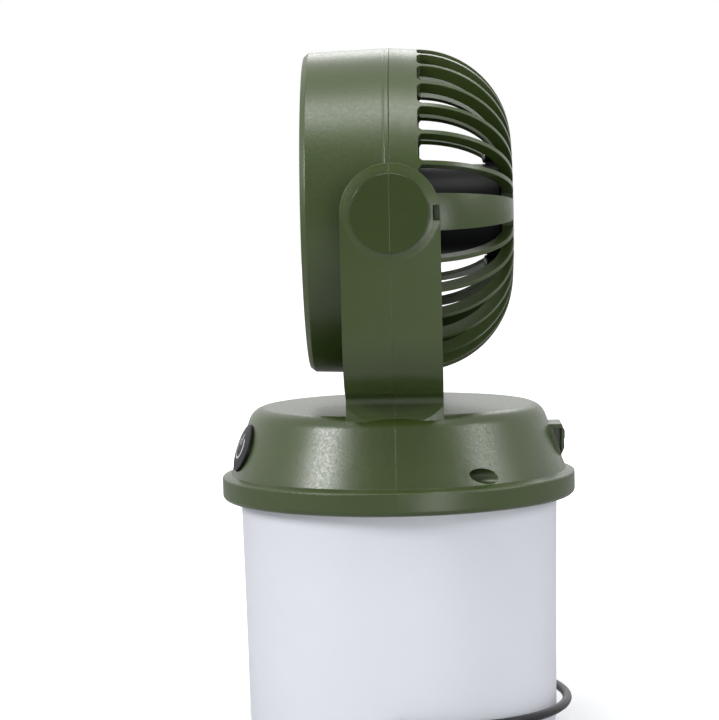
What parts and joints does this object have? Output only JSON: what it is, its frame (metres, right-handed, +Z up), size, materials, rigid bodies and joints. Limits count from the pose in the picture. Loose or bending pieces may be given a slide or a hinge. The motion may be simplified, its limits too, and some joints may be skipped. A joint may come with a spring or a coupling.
{
  "type": "portable camping fan",
  "caption": "Fan head that tilts in a two-armed yoke over a rounded lantern with a frosted diffuser and a wire bail to hang it by.",
  "frame": {"origin": "centre of the foot pad, on the surface the fan stands on", "axes": "+Z up, the fan blows toward -X at rest, the charge port faces +X, the tilt axis runs along Y"},
  "size_m": [0.14, 0.1568, 0.2724],
  "materials": {
    "shell_plastic": "fine satin texture, olive green",
    "black_plastic": "satin black",
    "black_rubber": "matte black rubber",
    "lead_cover": "insulated lead",
    "bush_plastic": "satin black",
    "coated_wire": "black coated steel wire",
    "bright_steel": "plated steel",
    "bearing_brass": "plain brass",
    "washer_fibre": "pressed fibre",
    "socket_steel": "plated steel",
    "circuit_board": "green board",
    "cell_wrap": "shrink wrap, bare of print",
    "white_plastic": "white",
    "diode_yellow": "yellow phosphor",
    "frosted_plastic": "frosted, milky white"
  },
  "bodies": {
    "base": {"base_front_shell": "shell_plastic", "base_rear_shell": "shell_plastic", "shell_screws": "bright_steel", "base_leads": "lead_cover", "button_switches": "circuit_board", "charge_socket": "socket_steel", "main_board": "circuit_board", "board_screws": "bright_steel", "battery_cells": "cell_wrap", "battery_tray": "black_plastic", "lamp_deck": "white_plastic", "deck_screws": "bright_steel", "lamp_board": "white_plastic", "lamp_diodes": "diode_yellow", "reflector_cone": "white_plastic", "diffuser_seal": "black_rubber", "diffuser": "frosted_plastic", "foot_pad": "black_rubber", "bail_bushes": "bush_plastic", "friction_washers": "washer_fibre"},
    "head": {"head_front_housing": "shell_plastic", "front_guard": "shell_plastic", "guard_badge": "shell_plastic", "head_rear_housing": "shell_plastic", "motor_cover": "black_plastic", "cover_screws": "bright_steel", "motor_can": "bright_steel", "motor_bearing": "bearing_brass", "pivot_hubs": "black_plastic", "head_leads": "lead_cover"},
    "rotor": {"motor_shaft": "bright_steel", "impeller": "black_plastic", "impeller_nut": "black_plastic"},
    "fan_button": {"fan_button": "black_plastic"},
    "lamp_button": {"lamp_button": "black_plastic"},
    "port_cover": {"port_cover": "black_rubber"},
    "bail": {"bail_wire": "coated_wire"}
  },
  "joints": [
    {"name": "head_tilt", "type": "hinge", "parent": "base", "child": "head", "pos_m": [0, 0, 0.2084], "axis": [0, 1, 0], "range_deg": [-135, 135]},
    {"name": "fan_spin", "type": "hinge", "parent": "head", "child": "rotor", "pos_m": [0, 0, 0.2084], "axis": [-1, 0, 0], "continuous": true},
    {"name": "fan_button_press", "type": "slide", "parent": "base", "child": "fan_button", "axis": [0.9033, -0.259, -0.342], "range_m": [0, 0.0006], "stiffness_N_per_m": 600, "springref_m": -0.0005},
    {"name": "lamp_button_press", "type": "slide", "parent": "base", "child": "lamp_button", "axis": [0.9033, 0.259, -0.342], "range_m": [0, 0.0006], "stiffness_N_per_m": 600, "springref_m": -0.0005},
    {"name": "port_cover_hinge", "type": "hinge", "parent": "base", "child": "port_cover", "pos_m": [0.0649, 0, 0.1146], "axis": [0, 1, 0], "range_deg": [0, 100]},
    {"name": "bail_swing", "type": "hinge", "parent": "base", "child": "bail", "pos_m": [0, 0, 0.016], "axis": [0, 1, 0], "range_deg": [-6, 182]}
  ]
}
